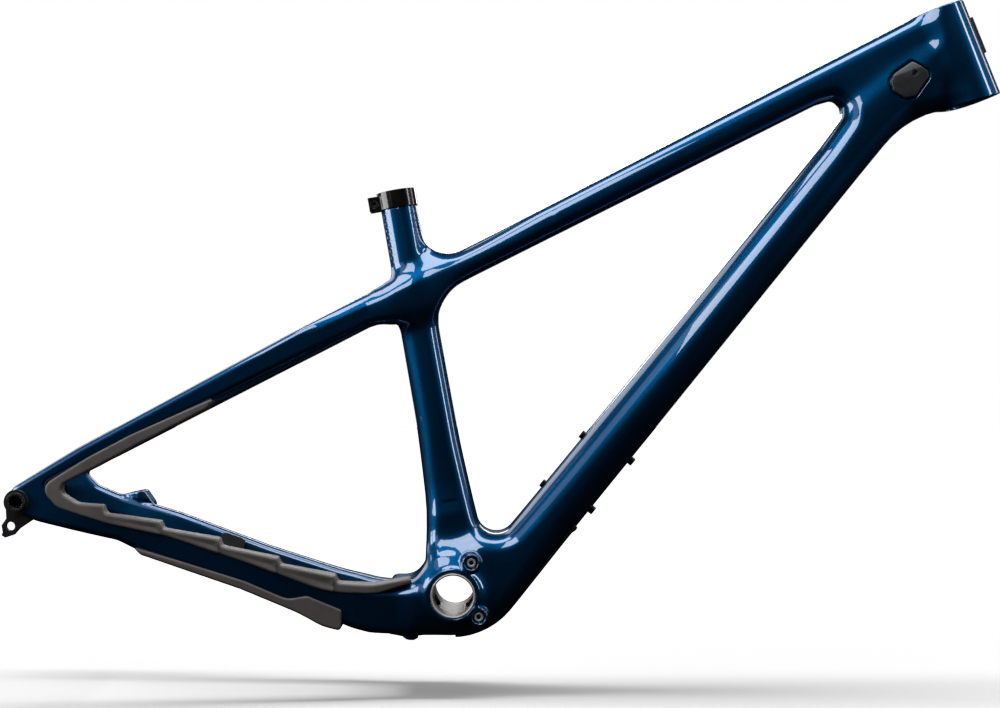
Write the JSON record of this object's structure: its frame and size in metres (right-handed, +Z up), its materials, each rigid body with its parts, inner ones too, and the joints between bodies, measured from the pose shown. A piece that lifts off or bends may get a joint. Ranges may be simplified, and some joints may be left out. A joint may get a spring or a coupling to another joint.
{
  "type": "bicycle frame",
  "caption": "Hardtail mountain bicycle frame in metallic blue with seat clamp, rear axle, derailleur hanger, protectors and port covers.",
  "frame": {"origin": "centre of the bottom-bracket shell", "axes": "+X forward towards the head tube, +Y to the rider's left along the bottom-bracket axis, +Z up, as ridden"},
  "size_m": [0.9627, 0.1813, 0.6895],
  "materials": {
    "shell": "deep metallic blue gloss lacquer over moulded carbon fibre",
    "sleeve": "turned satin silver",
    "badge": "satin dark grey, plain",
    "cover": "moulded dark grey",
    "small_bolt": "black oxide",
    "clamp": "black anodised",
    "clamp_steel": "black oxide",
    "axle": "black anodised",
    "hanger": "black anodised",
    "protector": "moulded warm grey rubber",
    "lower_guard": "moulded grey-brown rubber",
    "belly_guard": "textured black rubber",
    "guide_bolt": "silver socket heads",
    "plug": "blue"
  },
  "bodies": {
    "frame": {"head_tube": "shell", "head_junction": "shell", "top_tube": "shell", "down_tube": "shell", "seat_tube": "shell", "seat_cluster": "shell", "bottom_bracket_lug": "shell", "bottom_bracket_shell": "shell", "chainstay_right": "shell", "chainstay_left": "shell", "seatstay_right": "shell", "seatstay_left": "shell", "dropout_right": "shell", "dropout_left": "shell", "brake_mount_left": "shell", "bb_sleeve": "sleeve", "head_badge": "badge", "cable_port_cover_right": "cover", "cable_port_cover_left": "cover", "brake_port_cover": "cover", "cable_port_screw_right": "small_bolt", "cable_port_screw_left": "small_bolt", "bottle_bolts_upper": "small_bolt", "bottle_bolts_lower": "small_bolt", "chainstay_protector": "protector", "seatstay_protector": "protector", "chainstay_lower_guard": "lower_guard", "down_tube_guard": "belly_guard", "chainguide_bolts": "guide_bolt", "bb_port_plug": "plug"},
    "seat_clamp": {"seat_clamp_collar": "clamp", "seat_clamp_barrel": "clamp_steel"},
    "seat_clamp_bolt": {"seat_clamp_bolt": "clamp_steel"},
    "axle_carrier": {"thru_axle_washer": "axle"},
    "thru_axle": {"thru_axle": "axle"},
    "hanger": {"derailleur_hanger": "hanger", "hanger_washer": "hanger", "hanger_bolt": "hanger"}
  },
  "joints": [
    {"name": "seat_clamp_turn", "type": "hinge", "parent": "frame", "child": "seat_clamp", "pos_m": [-0.08578, 0, 0.39336], "axis": [-0.2419, 0, 0.9703], "range_deg": [-30, 30]},
    {"name": "clamp_bolt_turn", "type": "hinge", "parent": "seat_clamp", "child": "seat_clamp_bolt", "pos_m": [-0.10821, 0, 0.38622], "axis": [0, 1, 0], "continuous": true},
    {"name": "axle_slide", "type": "slide", "parent": "frame", "child": "axle_carrier", "axis": [0, 1, 0], "range_m": [0, 0.175]},
    {"name": "axle_turn", "type": "hinge", "parent": "axle_carrier", "child": "thru_axle", "pos_m": [-0.4277, 0, 0.0675], "axis": [0, 1, 0], "continuous": true},
    {"name": "hanger_swing", "type": "hinge", "parent": "frame", "child": "hanger", "pos_m": [-0.4277, -0.076, 0.0675], "axis": [0, 1, 0], "range_deg": [0, 25]}
  ]
}
